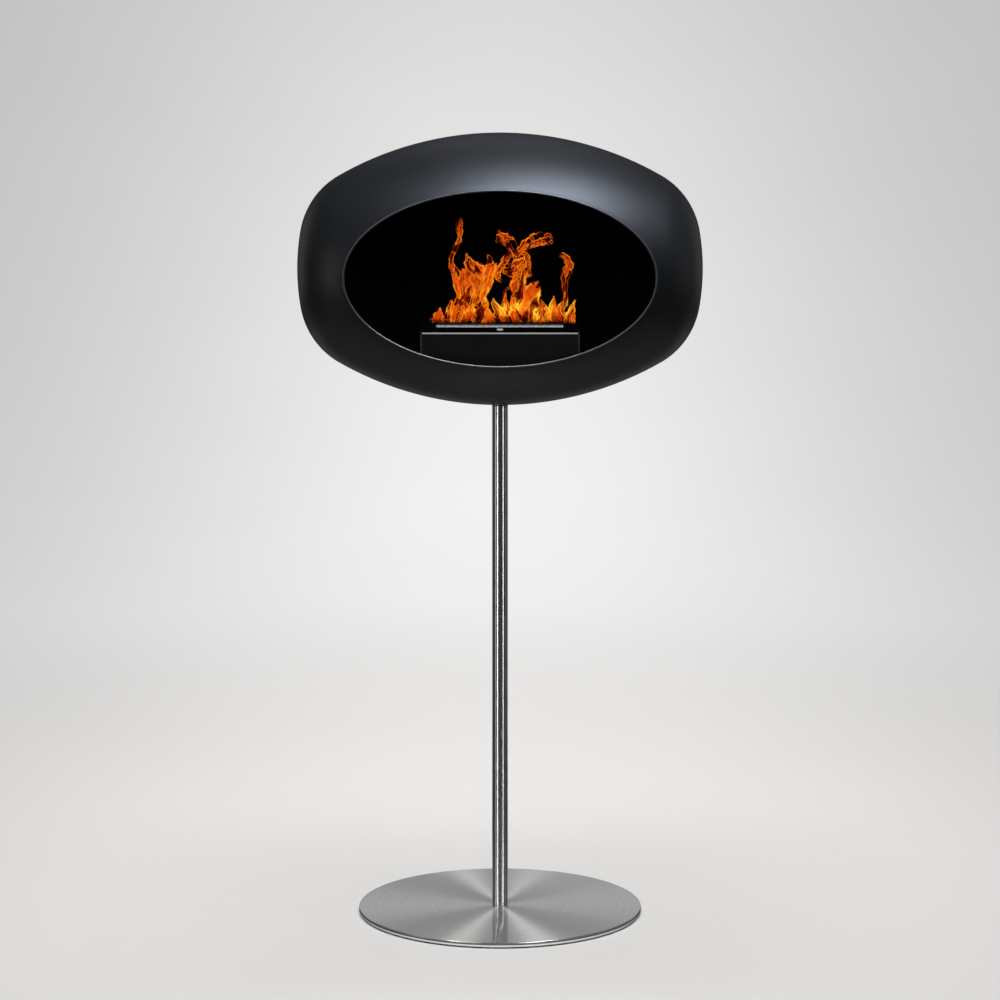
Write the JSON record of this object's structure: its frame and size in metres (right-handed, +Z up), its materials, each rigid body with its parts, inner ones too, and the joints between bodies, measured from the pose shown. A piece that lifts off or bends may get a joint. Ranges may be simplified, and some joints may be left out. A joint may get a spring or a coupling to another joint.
{
  "type": "bioethanol fireplace",
  "caption": "Free-standing bioethanol fireplace: an oval black steel dome with an elliptical mouth and a burner inside, turning on a thin steel pole with a round base plate.",
  "frame": {"origin": "on the floor, on the axis of the pole, under the middle of the base plate", "axes": "+Z up along the pole, +X to the right along the long axis of the dome, -Y out of the mouth"},
  "size_m": [0.56, 0.4, 1.0996],
  "materials": {
    "base_steel": "circular brushed stainless steel",
    "pole_steel": "lengthwise brushed stainless steel",
    "pad_rubber": "soft black rubber",
    "plug_steel": "turned steel",
    "slip_polymer": "grey low-friction polymer",
    "bolt_steel": "zinc-plated steel",
    "dome_paint": "matt black heat-resistant powder coat",
    "burner_paint": "satin black heat-resistant coat",
    "tray_steel": "drawn stainless steel",
    "mesh_steel": "stainless mesh",
    "wool_fibre": "ceramic fibre"
  },
  "bodies": {
    "stand": {"base_plate": "base_steel", "floor_pads": "pad_rubber", "pole": "pole_steel", "pole_foot_plug": "plug_steel", "foot_bolt": "bolt_steel", "pole_top_plug": "plug_steel", "slip_washer": "slip_polymer", "swivel_bolt": "bolt_steel", "thrust_washer": "bolt_steel"},
    "dome": {"dome_shell": "dome_paint", "dome_front": "dome_paint", "swivel_hub": "dome_paint", "cradle_rail_left": "dome_paint", "cradle_rail_right": "dome_paint", "burner_housing": "burner_paint", "housing_screws": "bolt_steel", "rail_nuts": "bolt_steel"},
    "fuel_cassette": {"fuel_tray": "tray_steel", "ceramic_wool": "wool_fibre", "slot_plate": "tray_steel", "damper_guide_left": "tray_steel", "damper_guide_right": "tray_steel", "burner_mesh": "mesh_steel", "burner_lid": "burner_paint", "lid_screws": "bolt_steel"},
    "damper": {"damper_plate": "tray_steel", "damper_knob": "mesh_steel"}
  },
  "joints": [
    {"name": "dome_swivel", "type": "hinge", "parent": "stand", "child": "dome", "pos_m": [0, 0, 0.724], "axis": [0, 0, 1], "continuous": true},
    {"name": "cassette_lift", "type": "slide", "parent": "dome", "child": "fuel_cassette", "axis": [0, 0, 1], "range_m": [0, 0.06]},
    {"name": "damper_slide", "type": "slide", "parent": "fuel_cassette", "child": "damper", "axis": [0, 1, 0], "range_m": [0, 0.042]}
  ]
}
